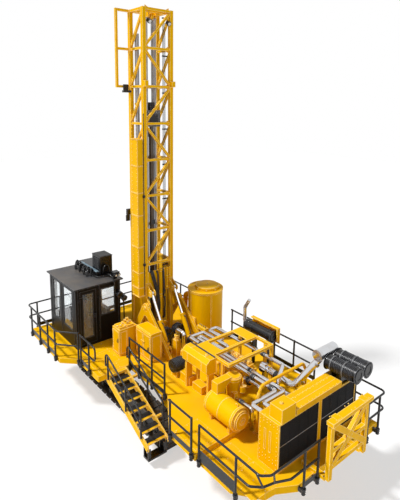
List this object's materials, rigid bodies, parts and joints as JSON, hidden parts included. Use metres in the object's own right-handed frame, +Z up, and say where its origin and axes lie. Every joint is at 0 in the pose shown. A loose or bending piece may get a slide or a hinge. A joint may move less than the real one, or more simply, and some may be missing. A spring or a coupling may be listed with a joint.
{
  "type": "blasthole drilling rig",
  "caption": "Crawler-mounted blasthole drilling rig with a tilting lattice mast, operator cab, decks with guard rails and stairs, engine and compressor pack, and rear cooler.",
  "frame": {"origin": "on the ground, under the centre of the machine's box", "axes": "+X from the drill and cab end to the cooler end, +Z up, the stairs and the cab walkway on the -Y side"},
  "size_m": [12.77, 6.3898, 14.73],
  "materials": {
    "yellow_paint": "gloss",
    "black_paint": "satin",
    "track_steel": "matte",
    "bright_steel": "polished",
    "grey_paint": "satin",
    "seat_cover": "matte"
  },
  "bodies": {
    "frame": {"main_frame": "yellow_paint", "deck": "yellow_paint", "rear_deck": "yellow_paint", "crawler_near_frame": "black_paint", "crawler_near_track": "track_steel", "crawler_far_frame": "black_paint", "crawler_far_track": "track_steel", "stairs": "yellow_paint", "stair_handrails": "black_paint", "rails_front": "black_paint", "rails_near": "black_paint", "rails_rear": "black_paint", "cab_shell": "black_paint", "cab_interior": "seat_cover", "cab_aircon": "black_paint", "cabinet_controls": "yellow_paint", "cabinet_valves": "yellow_paint", "dust_collector": "yellow_paint", "a_frame": "yellow_paint", "hose_drums": "black_paint", "engine": "yellow_paint", "compressor": "yellow_paint", "canopy_frame": "yellow_paint", "hydraulic_tank": "yellow_paint", "receiver_tank": "yellow_paint", "pipework": "bright_steel", "exhaust_muffler": "black_paint", "intake_pipe": "bright_steel", "air_cleaners": "black_paint", "cooler_housing": "yellow_paint", "cooler_cores": "black_paint", "mast_rest": "yellow_paint"},
    "mast": {"mast_side_near": "yellow_paint", "mast_side_far": "yellow_paint", "mast_bracing": "yellow_paint", "mast_crown": "yellow_paint", "mast_column": "yellow_paint", "mast_guides": "bright_steel"},
    "head": {"rotary_head": "grey_paint"},
    "string": {"drill_pipe": "bright_steel"},
    "barrel_near": {"lift_barrel_near": "yellow_paint"},
    "rod_near": {"lift_rod_near": "bright_steel"},
    "barrel_far": {"lift_barrel_far": "yellow_paint"},
    "rod_far": {"lift_rod_far": "bright_steel"},
    "door": {"cab_door": "black_paint"}
  },
  "joints": [
    {"name": "mast_tilt", "type": "hinge", "parent": "frame", "child": "mast", "pos_m": [-2.265, 0.805, 3.5], "axis": [0, 1, 0], "range_deg": [0, 90]},
    {"name": "head_feed", "type": "slide", "parent": "mast", "child": "head", "axis": [0, 0, 1], "range_m": [0, 2.9]},
    {"name": "string_spin", "type": "hinge", "parent": "head", "child": "string", "pos_m": [-3.035, 0.805, 2], "axis": [0, 0, 1], "continuous": true},
    {"name": "door_swing", "type": "hinge", "parent": "frame", "child": "door", "pos_m": [-3.465, -2.175, 3], "axis": [0, 0, -1], "range_deg": [0, 95]},
    {"name": "barrel_near_pivot", "type": "hinge", "parent": "frame", "child": "barrel_near", "pos_m": [-1.155, 0.275, 2.2], "axis": [0, 1, 0], "range_deg": [-0.5, 6.9]},
    {"name": "rod_near_slide", "type": "slide", "parent": "barrel_near", "child": "rod_near", "axis": [-0.5117, 0, 0.8591], "range_m": [-0.7267, 0.002]},
    {"name": "barrel_far_pivot", "type": "hinge", "parent": "frame", "child": "barrel_far", "pos_m": [-1.155, 1.335, 2.2], "axis": [0, 1, 0], "range_deg": [-0.5, 6.9]},
    {"name": "rod_far_slide", "type": "slide", "parent": "barrel_far", "child": "rod_far", "axis": [-0.5117, 0, 0.8591], "range_m": [-0.7267, 0.002]}
  ],
  "couplings": [
    {"joint": "barrel_near_pivot", "follows": "mast_tilt", "ratio": 0.071142},
    {"joint": "rod_near_slide", "follows": "mast_tilt", "m_per_rad": -0.46139},
    {"joint": "barrel_far_pivot", "follows": "mast_tilt", "ratio": 0.071142},
    {"joint": "rod_far_slide", "follows": "mast_tilt", "m_per_rad": -0.46139}
  ]
}
